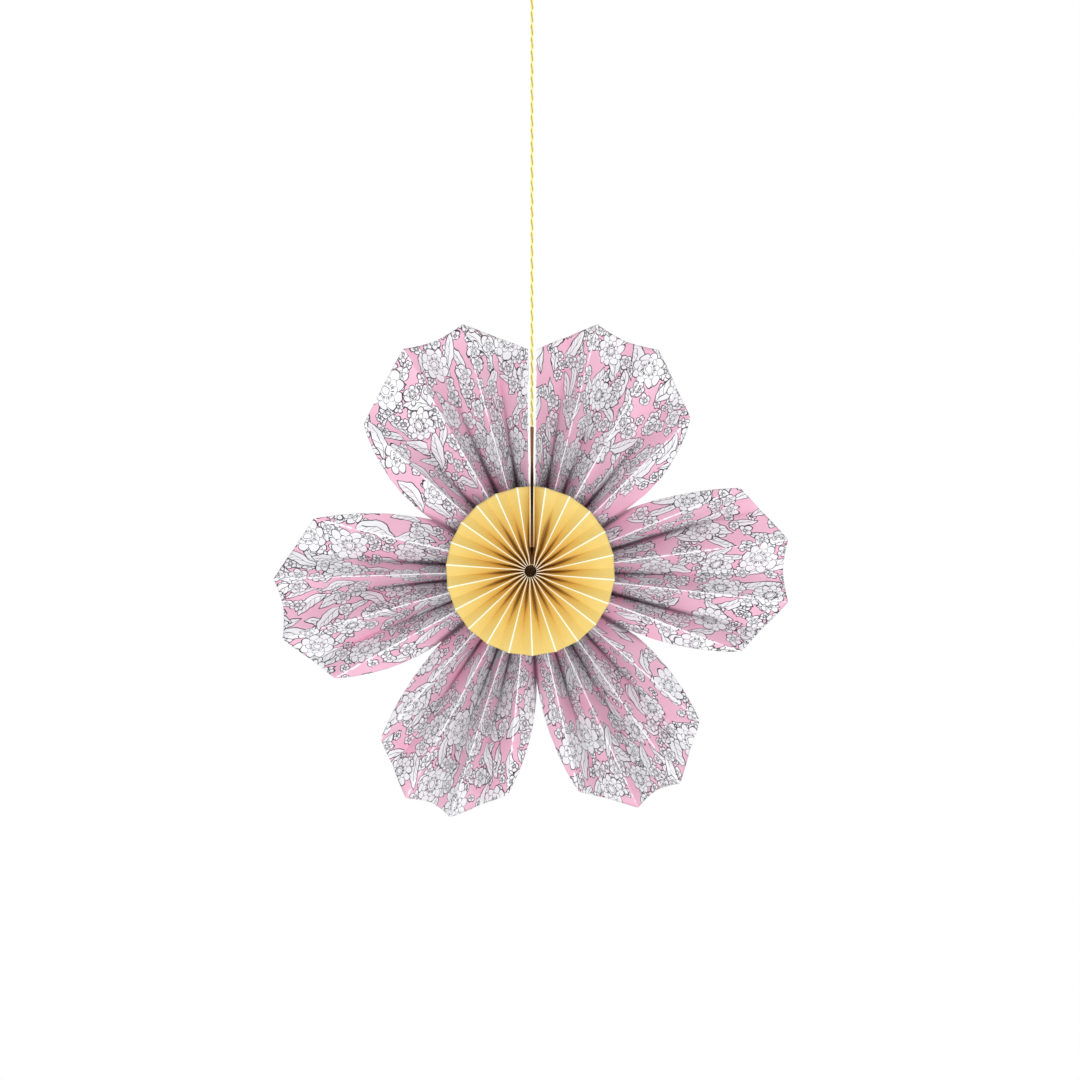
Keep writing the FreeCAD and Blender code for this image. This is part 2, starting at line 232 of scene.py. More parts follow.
def centre_folds():
    """The same for the centre. It starts and ends with a ridge, so its end pleats are half pleats."""
    radii = np.linspace(CENTRE_HUB, CENTRE_RADIUS, FINE)
    lines = fanned(radii, CENTRE_HUB, CENTRE_RADIUS, centre_directions)
    folds = [folded_back(lines[0], 0)]
    end = fold_depth(2 * half_chord(lines[0], lines[1]), CENTRE_PANEL, CENTRE_SHALLOWEST)
    folds.append(folded_back(lines[0], end))
    folds.append(folded_back(lines[1], 0))
    for k in range(2, len(lines) - 1):
        depth = fold_depth(half_chord(lines[k - 1], lines[k]), CENTRE_PANEL, CENTRE_SHALLOWEST)
        folds.append(folded_back((lines[k - 1] + lines[k]) / 2, depth))
        folds.append(folded_back(lines[k], 0))
    end = fold_depth(2 * half_chord(lines[-1], lines[-2]), CENTRE_PANEL, CENTRE_SHALLOWEST)
    folds.append(folded_back(lines[-1], end))
    folds.append(folded_back(lines[-1], 0))
    return radii, np.array(folds) - [0, CENTRE_PANEL, 0]


random.seed(5)
leans = [random.uniform(-LEAN, LEAN) for k in range(len(ridge_directions))]
leans = [0 if k % RIDGES_A_PETAL == 0 else lean for k, lean in enumerate(leans)]  # not at notches
petal_radii, petal_lines = petal_folds(leans)
centre_radii, centre_lines = centre_folds()
print("petal strip", len(petal_lines) - 1, "panels of", round(PETAL_PANEL, 2), "mm")
print("centre strip", len(centre_lines) - 1, "panels of", round(CENTRE_PANEL, 2), "mm")


# %% [markdown]
# ## The cut of the petals
# The strip is cut after it is pleated, so the cut is a few round snips: a shallow scallop between
# two ridges, and a longer swelling curve down each side of a petal to the notch. Each is an arc
# through three points. A mesh can follow such an edge exactly if every column of its grid ends on
# the outline, so there is no need to cut it with a boolean.

# %% The outline of the petals
def arc(start, end, rise, inside, steps=16):
    """Points of the arc that swells away from the point inside by rise."""
    start, end = np.array(start), np.array(end)
    chord = end - start
    half = np.linalg.norm(chord) / 2
    outward = np.array([chord[1], -chord[0]]) / (2 * half)
    middle = (start + end) / 2
    if outward @ (middle - inside) < 0:
        outward = -outward
    radius = (half**2 + rise**2) / (2 * rise)
    along = np.linspace(-half, half, steps)
    height = np.sign(radius) * np.sqrt(radius**2 - along**2) - (radius - rise)
    return middle + along[:, None] * chord / (2 * half) + height[:, None] * outward


def petal_tips(p):
    """The ends of a petal's ridges, the directions of those, and a point inside the petal."""
    petal = PETALS[p]
    reach = REACH - petal.short
    directions = ridge_directions[RIDGES_A_PETAL * p : RIDGES_A_PETAL * (p + 1)]
    shoulder = reach - SHOULDER_DROP
    points = [ring(r, d) for r, d in zip([shoulder, reach, reach, shoulder], directions)]
    if p == 0:
        points[0] = on_card(np.array(shoulder), -1)
    if p == len(PETALS) - 1:
        points[3] = on_card(np.array(shoulder), 1)
    return points, directions, ring(reach / 2, petal.middle)


outline = []
for p, petal in enumerate(PETALS):
    points, directions, inside = petal_tips(p)
    if p > 0:
        last_points, last_directions, last_inside = petal_tips(p - 1)
        notch = ring(NOTCH, (last_directions[-1] + directions[0]) / 2)
        outline.append(arc(last_points[-1], notch, PETALS[p - 1].swells[1], last_inside))
        outline.append(arc(notch, points[0], petal.swells[0], inside))
    for k, rise in enumerate((SHOULDER_SWELL, -CROWN_SCALLOP, SHOULDER_SWELL)):
        outline.append(arc(points[k], points[k + 1], rise, inside))
print(len(outline), "snips")


# %% [markdown]
# ## Where each column of the mesh ends
# A column of the grid keeps its share of a panel's width all the way from the hub. It ends where it
# first lies further out than the cut does in the same direction. The two end panels stand upright
# along the cards, where a direction seen from the front says nothing. Each carries half a notch, so
# its cut is drawn in its own plane.

# %% The end of each column
def turned(plan):
    """Directions in degrees from 90, the slot, round to 450."""
    return (np.degrees(np.arctan2(plan[..., 1], plan[..., 0])) - 90) % 360 + 90


outline = np.concatenate(outline)
outline_turn = np.maximum.accumulate(turned(outline))
outline_radius = np.linalg.norm(outline, axis=1)


def column_reach(panel, w):
    """How far a column at share w across its panel goes before it meets the cut."""
    if panel == 0:
        return end_panel_reach(1 - w, PETALS[0].short, PETALS[0].swells[0])
    if panel == len(petal_lines) - 2:
        return end_panel_reach(w, PETALS[-1].short, PETALS[-1].swells[1])
    plan = ((1 - w) * petal_lines[panel] + w * petal_lines[panel + 1])[:, [0, 2]]
    off = np.linalg.norm(plan, axis=1) - np.interp(turned(plan), outline_turn, outline_radius)
    k = int(np.flatnonzero(off > 0)[0])
    share = off[k - 1] / (off[k - 1] - off[k])
    return float(petal_radii[k - 1] + share * (petal_radii[k] - petal_radii[k - 1]))


def end_panel_reach(share, short, swell):
    """The same in the plane of an end panel, where share counts from its ridge."""
    shoulder = REACH - short - SHOULDER_DROP
    edge = arc((2 * PAPER, shoulder), (PETAL_PANEL, NOTCH), swell, (0, NOTCH))
    return float(np.interp(share * PETAL_PANEL, edge[:, 0], edge[:, 1]))


reaches = [column_reach(p, w) for p in range(len(petal_lines) - 1) for w in (0.01, 0.5, 0.99)]
print("the petals reach", round(min(reaches), 1), "to", round(max(reaches), 1), "mm")


# %% [markdown]
# ## A sheet of paper
# Each strip is one grid of points: a few columns across every panel, more of them close to the
# folds, and rows from the hub to the cut. Real panels are never quite flat, so each one swells by a
# few tenths of a millimetre, and its middle wanders a little. The grid also keeps its flat place on
# the strip as UV coordinates in metres, so the print lies on it as it lay on the flat sheet and
# bends over the folds with it. A Solidify modifier then gives the paper its thickness, with a
# second material for its plain back and a third for its cut edge.

# %% Meshes of the sheets
PETAL_COLUMNS = (0, 0.015, 0.05, 0.12, 0.25, 0.4, 0.6, 0.75, 0.88, 0.95, 0.985)
CENTRE_COLUMNS = (0, 0.03, 0.1, 0.25, 0.5, 0.75, 0.9, 0.97)
FULL_SWELL, FULL_ROUND = 50.0, 30.0  # from these distances on, panels swell and folds round in full
WAVE, NEAR_WAVE, FAR_WAVE = 0.6, 17.0, 37.0  # how the swell changes along a panel
LEAST_SWELL, LONGEST_PHASE = -0.4, 6.28  # a panel may also swell a little to the other side
ROUNDING = 0.3  # how far a fold draws back, as a share of its radius


def at_radius(radii, line, radius):
    return np.stack([np.interp(radius, radii, line[:, c]) for c in range(3)], -1)


def square_to(left, right):
    """Directions square to the panel between two fold lines."""
    off = np.cross(right - left, np.gradient((left + right) / 2, axis=0))
    return off / (np.linalg.norm(off, axis=1)[:, None] + 1e-9)


def grid_mesh(name, points, flat):
    """A mesh from equal columns of points, with each point's place on the flat sheet as its UV."""
    count, rows = len(points), len(points[0])
    corner = (np.arange(count - 1)[:, None] * rows + np.arange(rows - 1)).ravel()
    faces = np.stack([corner, corner + 1, corner + rows + 1, corner + rows], -1)
    flat = np.array(flat).reshape(-1, 2) * MM
    mesh = bpy.data.meshes.new(name)
    mesh.from_pydata((np.array(points).reshape(-1, 3) * MM).tolist(), [], faces.tolist())
    layer = mesh.uv_layers.new(name="flat")
    layer.data.foreach_set("uv", flat[faces.ravel()].ravel())
    mesh.polygons.foreach_set("use_smooth", [True] * len(faces))
    mesh.update()
    made = bpy.data.objects.new(name, mesh)
    bpy.context.scene.collection.objects.link(made)
    print(name, len(faces), "faces, and its flat sheet is", (np.ptp(flat, axis=0) / MM).round(1))
    return made


def sheet(name, radii, lines, reach, width, columns, rows, most, soft, ridge, seed):
    """most is how far panels swell, soft the radius of the folds, and ridge the first front fold."""
    points, flat = [], []
    last = len(lines) - 2
    for panel in range(last + 1):
        wander = np.random.default_rng(seed + panel)
        size, first, second = wander.uniform(LEAST_SWELL, 1), *wander.uniform(0, LONGEST_PHASE, 2)
        backwards = 1 if panel % 2 == ridge else -1
        for w in columns + (1.0,) if panel == last else columns:
            radius = radii[0] + (reach(panel, w) - radii[0]) * np.linspace(0, 1, rows)
            left, right = (at_radius(radii, line, radius) for line in lines[panel : panel + 2])
            wave = 1 + WAVE * np.sin(radius / NEAR_WAVE + first) * np.sin(radius / FAR_WAVE + second)
            crown = 4 * w * (1 - w)  # 1 in the middle of a panel and 0 at its folds
            stand = size * most * crown * wave * np.clip(radius / FULL_SWELL, 0, 1) ** 2
            place = (1 - w) * left + w * right + stand[:, None] * square_to(left, right) + HUB
            to_left, to_right = (math.exp(-((share * width / soft) ** 2)) for share in (w, 1 - w))
            drawn = backwards * soft * ROUNDING * (to_left - to_right)
            place[:, 1] += drawn * np.clip(radius / FULL_ROUND, 0, 1)
            points.append(place)
            flat.append(np.stack([np.full(rows, (panel + w) * width), radius], -1))
    return grid_mesh(name, points, flat)


print(len(PETAL_COLUMNS), "columns a panel on the petals,", len(CENTRE_COLUMNS), "on the centre")


# %% [markdown]
# ## Both sheets
# The two sheets differ only in their fold lines, their cut and how stiff they are. The small centre
# is folded so narrowly that its panels stay almost flat, while the wide panels of the petals swell by
# half a millimetre. Each replaces the plain solid of the same strip, and stays fixed to it.

# %% Make both sheets
def thickened(made):
    solid = made.modifiers.new("paper", "SOLIDIFY")
    solid.thickness = PAPER * MM
    solid.offset = 0
    solid.use_even_offset = False
    solid.material_offset = 1
    solid.material_offset_rim = 2


petals = sheet(
    "printed_petals", petal_radii, petal_lines, column_reach, PETAL_PANEL, PETAL_COLUMNS,
    rows=64, most=0.55, soft=0.9, ridge=1, seed=11,
)
centre = sheet(
    "yellow_centre", centre_radii, centre_lines, lambda panel, w: CENTRE_RADIUS,
    CENTRE_PANEL, CENTRE_COLUMNS, rows=30, most=0.12, soft=0.3, ridge=0, seed=70,
)
for made, node, slot in (
    (petals, "petal_fan", "printed_paper"),
    (centre, "centre_fan", "plain_paper"),
):
    thickened(made)
    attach(made, "root")
    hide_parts(node)


# %% [markdown]
# ## Arithmetic on sockets
# The finishes below are formulas: how far a point is from a fold, or whether it lies inside a
# printed petal. A small class around a socket lets such a formula be written as ordinary Python,
# and each operation becomes one Math node.

# %% A socket that can be calculated with
class Value:
    """The output of a node, with the arithmetic of numbers."""

    def __init__(self, tree, socket):
        self.tree, self.socket = tree, socket

    def math(self, operation, *others):
        made = self.tree.nodes.new("ShaderNodeMath")
        made.operation = operation
        for slot, value in enumerate((self, *others)):
            feed(self.tree, made.inputs[slot], value)
        return Value(self.tree, made.outputs[0])

    def __add__(self, other):
        return self.math("ADD", other)

    def __mul__(self, other):
        return self.math("MULTIPLY", other)

    def __sub__(self, other):
        return self.math("SUBTRACT", other)

    def __rsub__(self, other):
        return (self * -1) + other

    def __truediv__(self, other):
        return self.math("DIVIDE", other)

    def __lt__(self, other):
        return self.math("LESS_THAN", other)

    def __gt__(self, other):
        return self.math("GREATER_THAN", other)

    __radd__, __rmul__ = __add__, __mul__

    def other(self, name):
        """Another output of the same node."""
        return Value(self.tree, self.socket.node.outputs[name])

    def step(self, start, end):
        """0 up to start, 1 from end on and smooth between them, also where end is the smaller."""
        made = self.tree.nodes.new("ShaderNodeMapRange")
        made.interpolation_type = "SMOOTHSTEP"
        falls = start > end
        for name, value in (
            ("Value", self), ("From Min", min(start, end)), ("From Max", max(start, end)),
            ("To Min", float(falls)), ("To Max", float(not falls)),
        ):
            feed(self.tree, made.inputs[name], value)
        return Value(self.tree, made.outputs[0])


def feed(tree, slot, value):
    """Link a calculated value to the slot, or set a plain one on it."""
    if isinstance(value, Value):
        tree.links.new(value.socket, slot)
    else:
        slot.default_value = value


print("a value also has the methods", [name for name in vars(Value) if name[0] != "_"])


# %% [markdown]
# ## A material and its nodes
# The second class holds one material. It adds the nodes that aren't arithmetic, through one method
# that takes the kind of the node, its settings and its inputs. A place on the sheet comes from the
# UV map and is turned into millimetres at once, so all the sizes below are real ones.

# %% One material
class Paint:
    """One material: its node tree, and short ways to add nodes to it."""

    def __init__(self, name, **constants):
        self.material = bpy.data.materials.new(name)
        self.material.use_nodes = True
        self.tree = self.material.node_tree
        self.shader = self.tree.nodes["Principled BSDF"]
        for slot, value in constants.items():
            self.shader.inputs[slot.replace("_", " ")].default_value = value

    def node(self, kind, settings, output, **sockets):
        made = self.tree.nodes.new("ShaderNode" + kind)
        for name, value in settings.items():
            setattr(made, name, value)
        for name, value in sockets.items():
            feed(self.tree, made.inputs[name.replace("_", " ")], value)
        return Value(self.tree, made.outputs[output])

    def noise(self, scale, detail=2.0, dimensions="3D", output=0, **place):
        """Soft clouds of about 0.3 to 0.7, one over scale apart."""
        settings = {"noise_dimensions": dimensions}
        return self.node("TexNoise", settings, output, Scale=scale, Detail=detail, **place)

    def mix(self, share, first, second):
        made = self.tree.nodes.new("ShaderNodeMix")
        made.data_type = "RGBA"
        for slot, value in ((0, share), (6, first), (7, second)):
            feed(self.tree, made.inputs[slot], value)
        return Value(self.tree, made.outputs[2])

    def vector(self, x, y, z=0.0):
        return self.node("CombineXYZ", {}, 0, X=x, Y=y, Z=z)

    def split(self, value):
        made = self.tree.nodes.new("ShaderNodeSeparateXYZ")
        feed(self.tree, made.inputs[0], value)
        return [Value(self.tree, made.outputs[k]) for k in range(3)]

    def flat(self):
        """Places on the flat sheet in millimetres: along the strip, and outwards from the hub."""
        along, outwards = self.split(self.node("UVMap", {"uv_map": "flat"}, 0))[:2]
        return along / MM, outwards / MM

    def paint(self, slot, value):
        feed(self.tree, self.shader.inputs[slot], value)

    def bump(self, height, strength, distance):
        self.paint("Normal", self.node(
            "Bump", {}, 0, Height=height, Strength=strength, Distance=distance * MM
        ))


trial = Paint("trial")
(trial.noise(1.0) + 2) * 3
print("a sum and a product make", [node.name for node in trial.tree.nodes][2:])
bpy.data.materials.remove(trial.material)


# %% [markdown]
# ## Colours
# Colours are easiest to judge as they look on a screen, but a shader works with amounts of light.
# The conversion between the two is a fixed curve.

# %% Colours
def srgb(red, green, blue):
    """A colour as it is seen on a screen, from 0 to 255, as the light values a shader wants."""
    channels = [c / 255 for c in (red, green, blue)]
    linear = [c / 12.92 if c <= 0.04045 else ((c + 0.055) / 1.055) ** 2.4 for c in channels]
    return (*linear, 1.0)


PINKS = srgb(234, 188, 207), srgb(225, 170, 192)
print("the lighter pink is", [round(c, 3) for c in PINKS[0][:3]])


# %% [markdown]
# ## A floral print without a picture
# The print is line work: grey-white blossoms and leaves with a thin dark outline, crowded over a
# pink ground. Each kind of motif is scattered with a Voronoi texture, which gives the centre of the
# nearest cell. Seen from that centre, a blossom is a formula in polar coordinates and a leaf is a
# parabola on each side of its midrib. Where two motifs of a kind meet, the cell's border cuts them,
# and a line is drawn there, as if one lay on the other.

# %% Scattered motifs
LINE = 0.22  # half the width of the ink, in millimetres
SOFT = 0.1  # over how much of that an edge fades
INNER_FADE = 0.16  # the same for the lines within a motif
FULL_TURN, QUARTER_TURN = 6.283, 1.57  # radians
SKEW = 0.37  # how far a kind is shifted outwards, as a share of its shift along the strip
EVEN_AT, CROWDING = 100.0, 0.0006  # how the print gets denser outwards, from that distance


class Scatter:
    """One kind of motif: places seen from the centre of the nearest one, in millimetres."""

    def __init__(self, paint, u, v, size, shift, spread=0.7, long=1.0):
        place = paint.vector(u / size + shift, v / (size * long) + shift * SKEW)

        def cells(feature, output):
            settings = {"voronoi_dimensions": "2D", "feature": feature}
            where = {"Vector": place, "Scale": 1.0, "Randomness": spread}
            return paint.node("TexVoronoi", settings, output, **where)

        centre = cells("F1", "Position")
        self.random = paint.split(centre.other("Color"))
        across, along = paint.split(place)[:2]
        middle_across, middle_along = paint.split(centre)[:2]
        self.x = (across - middle_across) * size
        self.y = (along - middle_along) * (size * long)
        self.edge = cells("DISTANCE_TO_EDGE", "Distance") * size
        spot = paint.vector(middle_across * size, middle_along * (size * long))
        self.crowd = paint.noise(0.05, dimensions="2D", Vector=spot)
        self.outward = (v - self.y - EVEN_AT) * CROWDING  # v - y is where the motif's centre lies

    def kept(self, least, most=1.0):
        """1 where the whole motif is printed: where the noise at its own centre is in that range.
        The range is wider towards the rim, so more ground shows near the hub."""
        return (self.crowd + self.outward > least) * (self.crowd - self.outward < most)

    def polar(self):
        radius = (self.x * self.x + self.y * self.y).math("SQRT")
        return radius, self.y.math("ARCTAN2", self.x) + self.random[0] * FULL_TURN

    def turned(self, least, most):
        """Along and across an axis that leans between those angles, in radians."""
        angle = self.random[0] * (most - least) + least
        cos, sin = angle.math("COSINE"), angle.math("SINE")
        return self.x * cos + self.y * sin, self.y * cos - self.x * sin


def inked(inside, *lines):
    """The fill, and the ink: the edge of the fill and any lines that lie within it."""
    fill = inside.step(-SOFT, SOFT)
    ink = inside.math("ABSOLUTE").step(LINE + SOFT, LINE - SOFT)
    for line in lines:
        ink = ink.math("MAXIMUM", line.step(LINE, LINE - INNER_FADE) * fill)
    return fill, ink


print("ink lines are", 2 * LINE, "mm wide")


# %% [markdown]
# ## Blossoms and leaves
# A blossom's outline is its radius in each direction, as a power of a cosine, which gives round
# petals with a sharp nick between them. Its inner lines are distances too: to the nearest gap, to
# the rim of its eye, to short strokes round the eye and, on the larger kinds, to a second ring of
# petals. A line that must not show somewhere is moved out of reach there by a large number.

# %% Motifs
AWAY = 9.0  # millimetres, more than any line is wide
ROUND = 0.55  # the lower this power, the blunter the petals
EYE, CLEAR, INNER_CLEAR = 0.2, 0.28, 0.3  # shares of a blossom's size, from its middle
STROKE, HALF_STROKE = 0.36, 0.08  # the same for the middle and half the length of the strokes
SPREAD_OF_SIZES = 0.3  # how much smaller than the largest a blossom may be
SLANT, LEAF_SLANT = 0.85, 0.9  # an outline is nearer across it than along the ray to it
RIB_END, RIB_STEP = 0.6, 1.7  # where the midrib ends, as a share, and how far apart side ribs are


def blossom(scatter, size, fewest, most, depth=0.42, inner=0.0):
    """Petals round an eye. inner is the size of a second ring of them, as a share of the first."""
    radius, angle = scatter.polar()
    petals = (scatter.random[1] * (most - fewest + 0.99) + fewest).math("FLOOR")
    size = scatter.random[2] * (SPREAD_OF_SIZES * size) + (1 - SPREAD_OF_SIZES) * size
    turn = angle * petals / 2
    wave = turn.math("COSINE").math("ABSOLUTE")
    inside = (size * (wave.math("POWER", ROUND) * depth + (1 - depth)) - radius) * SLANT
    gap = radius * wave / petals * 2 + (radius < size * CLEAR) * AWAY
    eye = (radius - size * EYE).math("ABSOLUTE")
    beyond = (radius - size * STROKE).math("ABSOLUTE") > size * HALF_STROKE
    strokes = (turn * 3).math("COSINE").math("ABSOLUTE") * radius / petals * 0.7 + beyond * AWAY
    lines = [gap, eye, strokes]
    if inner:
        between = turn.math("SINE").math("ABSOLUTE")
        second = radius - size * inner * (between.math("POWER", ROUND) * depth + (1 - depth))
        lines[0] = gap + (second < 0) * AWAY
        outside = (second > 0) + (radius < size * INNER_CLEAR)
        lines += [second.math("ABSOLUTE"), radius * between / petals * 2 + outside * AWAY]
    return inked(inside.math("MINIMUM", scatter.edge), *lines)


def leaf(scatter, long, wide, lean=1.1):
    """A pointed leaf that bends a little, with its midrib and side ribs on one half."""
    along, across = scatter.turned(QUARTER_TURN - lean, QUARTER_TURN + lean)
    share = along / long
    across = across + share * share * (wide * 0.6) - wide * 0.2
    off = across.math("ABSOLUTE")
    inside = ((1 - share * share) * wide - off) * LEAF_SLANT
    rib = off + (share > RIB_END) * AWAY
    side = (off * 1.3 - along).math("PINGPONG", RIB_STEP) + (across > 0) * AWAY
    return inked(inside.math("MINIMUM", scatter.edge), rib, side)


def motifs(paint, u, v):
    """The fill and ink of each kind, and where it is printed, from the lowest layer upwards."""
    leaves = Scatter(paint, u, v, 11.0, 3.1, long=1.7)
    small = Scatter(paint, u, v, 7.0, 7.7)
    sprays = Scatter(paint, u, v, 13.5, 11.9, long=1.5)
    middling = Scatter(paint, u, v, 11.0, 17.3)
    large = Scatter(paint, u, v, 26.0, 23.1, spread=0.35)
    return (
        (leaf(leaves, 9.0, 2.6), leaves.kept(0.44)),
        (blossom(small, 3.4, 4, 6), small.kept(0.48)),
        (leaf(sprays, 11.0, 3.4, lean=0.9), sprays.kept(0.0, 0.51)),
        (blossom(middling, 5.6, 5, 7, inner=0.6), middling.kept(0.45, 0.64)),
        (blossom(large, 10.5, 8, 11, 0.3, inner=0.64), large.kept(0.0, 0.55)),
    )


print("the print has two kinds of leaf and three sizes of blossom")


# %% [markdown]
# ## The printed paper
# The motifs are laid over the pink one kind after the other. The place where the print is looked up
# is pushed about by a soft noise, so no outline is a perfect circle. Two things then belong to the
# folded sheet and not to the print. Shade is painted into the deep valleys near the hub, further out
# along some valleys than others. Along each front fold a white line is painted, partly where the
# print is worn off and the white paper shows, and partly as a painted highlight on the fold.

# %% Printed paper
GREYS = srgb(239, 240, 242), srgb(223, 223, 227)
INK, PETAL_SHADE, WORN_AND_HIGHLIGHT_WHITE = srgb(38, 28, 38), srgb(104, 76, 88), srgb(245, 243, 245)
WARP, START = 5.0, 40.0  # how far the print is pushed about, and where it starts on the strip
DARK_FROM, DARKEST_AT = 112, 44  # distances from the hub where the painted valley shade begins and where it is darkest
RIDGE_LINE_FROM, RIDGE_LINE_WIDTH, RIDGE_LINE_GROWTH = 0.46, 3.2, 0.45  # least noise of a white fold line, then millimetres


def painted_valley_shade(paint, u, v, from_valley, scale, spread, wide, growth, edge, fades, most):
    """Painted shade in the valleys: it grows wider over wide and darker over fades, towards the hub.
    """
    own = paint.noise(scale, dimensions="1D", W=u)
    from_hub = v - (own - 0.5) * spread
    deep = (from_valley - from_hub.step(*wide) * growth).step(*edge)
    return deep * from_hub.step(*fades) * most


def worn_and_highlit_ridges(paint, colour, u, v):
    """Worn print and painted highlight on the front folds, broken near the rim, nearly whole at the
    hub.
    """
    line_noise = paint.noise(0.35, 4.0, Vector=paint.vector(u, v))
    width = (line_noise - RIDGE_LINE_FROM) * RIDGE_LINE_WIDTH + v.step(125, 30) * RIDGE_LINE_GROWTH
    # the white line on each front fold: the print worn off, and a painted highlight of the fold
    crack_and_highlight = (PETAL_PANEL - u.math("PINGPONG", PETAL_PANEL) - width).step(0.1, -0.1)
    return paint.mix(crack_and_highlight * 0.9, colour, WORN_AND_HIGHLIGHT_WHITE)


def paper_grain(paint):
    """The fine grain of the paper on slow waves."""
    place = paint.node("TexCoord", {}, "Object")
    grain, waves = (paint.noise(*sort, Vector=place) for sort in ((2600.0, 3.0), (60.0, 2.0)))
    paint.bump(grain * 0.15 + waves, 0.35, 0.25)


def printed_paper():
    paint = Paint("printed_paper_face", Roughness=0.42, Specular_IOR_Level=0.45)
    flat_u, flat_v = paint.flat()
    warp = paint.noise(0.09, dimensions="2D", output="Color", Vector=paint.vector(flat_u, flat_v))
    warp_u, warp_v = paint.split(warp)[:2]
    u, v = flat_u + warp_u * WARP + START, flat_v + warp_v * WARP
    cloud = paint.noise(0.06, dimensions="2D", Vector=paint.vector(u, v))
    colour, tone = paint.mix(cloud, *PINKS), paint.mix(cloud, *GREYS)
    for (fill, line), kept in motifs(paint, u, v):
        colour = paint.mix(fill * kept, colour, tone)
        colour = paint.mix(line * kept, colour, INK)
    # painted shade in the petals' valleys, reaching further out along some of them
    dark = painted_valley_shade(
        paint, flat_u, flat_v, flat_u.math("PINGPONG", PETAL_PANEL), scale=0.02, spread=80,
        wide=(80, 30), growth=2, edge=(3.6, -0.6), fades=(DARK_FROM, DARKEST_AT), most=0.8,
    )
    colour = paint.mix(dark, colour, PETAL_SHADE)
    paint.paint("Base Color", worn_and_highlit_ridges(paint, colour, flat_u, flat_v))
    paper_grain(paint)
    return paint.material


print("the petals' valleys darken from", DARK_FROM, "to", DARKEST_AT, "mm from the hub")


# %% [markdown]
# ## Yellow paper
# The centre is coloured paper whose pale core shows as a crisp line on every front fold, because the
# fold breaks the coloured skin. Towards the hub its yellow is painted deeper for the light that its
# deep folds reflect on each other, and its valleys get painted brown shade, as the petals' do.

# %% Yellow paper
YELLOWS = srgb(226, 201, 123), srgb(218, 190, 108)
REFLECTED_HUB_YELLOW, CORE, CENTRE_SHADE = srgb(232, 184, 74), srgb(245, 239, 221), srgb(136, 78, 26)
CORE_SHOWS = 0.34  # half the width of the pale line on a fold


def yellow_paper():
    paint = Paint("yellow_paper_face", Roughness=0.6, Specular_IOR_Level=0.3)
    u, v = paint.flat()
    place = paint.vector(u, v)
    colour = paint.mix(paint.noise(0.12, 3.0, Vector=place), *YELLOWS)
    # painted reflected light: the yellow turns deeper and warmer towards the hub
    colour = paint.mix(v.step(38, 8) * 0.66, colour, REFLECTED_HUB_YELLOW)
    off = u.math("PINGPONG", CENTRE_PANEL)
    # painted shade in the centre's valleys, brown towards the hub
    dark = painted_valley_shade(
        paint, u, v, CENTRE_PANEL - off, scale=0.045, spread=30,
        wide=(28, 8), growth=4.2, edge=(1.4, -1.6), fades=(36, 13), most=0.64,
    )
    colour = paint.mix(dark, colour, CENTRE_SHADE)
    width = (paint.noise(0.9, 2.0, Vector=place) - 0.5) * 0.25 + v.step(8, 3) * 0.5 + CORE_SHOWS
    paint.paint("Base Color", paint.mix((off - width).step(0.08, -0.08), colour, CORE))
    paper_grain(paint)
    return paint.material


print("the core shows", 2 * CORE_SHOWS, "mm wide on the yellow folds")


# %% [markdown]
# ## Bare paper
# The backs of both sheets, and their cut edges, are bare paper, which is two close tones and a fine
# bump. Round the hub the centre's back and its cut ends get painted shade.

# %% Plain finishes
HUB_SHADE_FADE = (16, 11)  # distances from the hub over which the painted shade begins


class Stuff(Paint):
    """A matt and slightly fibrous stuff in two close tones."""

    def __init__(self, name, first, second, roughness=0.75, scale=900.0):
        super().__init__(name, Roughness=roughness, Specular_IOR_Level=0.3)
        self.place = self.node("TexCoord", {}, "Object")
        self.fibres = self.noise(scale, 4.0, Vector=self.place)
        self.colour = self.mix(self.fibres, first, second)

    def finished(self, height):
        self.paint("Base Color", self.colour)
        self.bump(self.fibres, 0.4, height)
        return self.material


def bare(name, first, second, roughness=0.75, scale=900.0, height=0.2):
    return Stuff(name, first, second, roughness, scale).finished(height)


def shaded_round_hub(name, first, second, dark, least=0.0):
    """Bare paper of the centre's strip, with painted shade round the hub but not nearer to it than
    least.
    """
    stuff = Stuff(name, first, second)
    v = stuff.flat()[1]
    near = v.step(*HUB_SHADE_FADE) * (v > least)
    stuff.paint("Base Color", stuff.mix(near, stuff.colour, dark))
    return stuff.material


def put_on(made, *finishes):
    made.data.materials.clear()
    for finish in finishes:
        made.data.materials.append(finish)


WHITES = srgb(244, 243, 240), srgb(236, 235, 233)
paper_edge = bare("cut_paper_edge", srgb(250, 248, 244), srgb(240, 237, 232))
put_on(petals, printed_paper(), bare("white_paper_back", *WHITES), paper_edge)
# painted shade round the hub on the centre's back and on its cut ends
centre_back = shaded_round_hub("yellow_paper_back", *WHITES, srgb(84, 60, 50))
edge_tones = srgb(238, 212, 136), srgb(228, 200, 120)
centre_edge = shaded_round_hub("cut_yellow_edge", *edge_tones, srgb(112, 68, 36), CENTRE_HUB + 0.4)
put_on(centre, yellow_paper(), centre_back, centre_edge)
print("the centre's finishes are", [m.name for m in centre.data.materials])


# %% [markdown]
# ## Board, tape and card
# The cards are white board. At the centre their front edges have three strips: painted shade beside
# the slot, then the white of the board, then a narrow flap of the yellow paper. Near the hub the
# front edges get painted shade too. The tape in the depth of the slot and the disc on the back are
# brown.

# %% Board, tape and card
SLOT_SHADE_EDGE, FLAP_FROM = 0.2, 0.4  # millimetres from the slot
SLOT_SHADE_ENDS = (CENTRE_RADIUS + 12, CENTRE_RADIUS + 4)  # heights above the hub over which the painted shade beside the slot begins
SHADED_BELOW = (34, 14)  # and those over which painted shade darkens the front edges


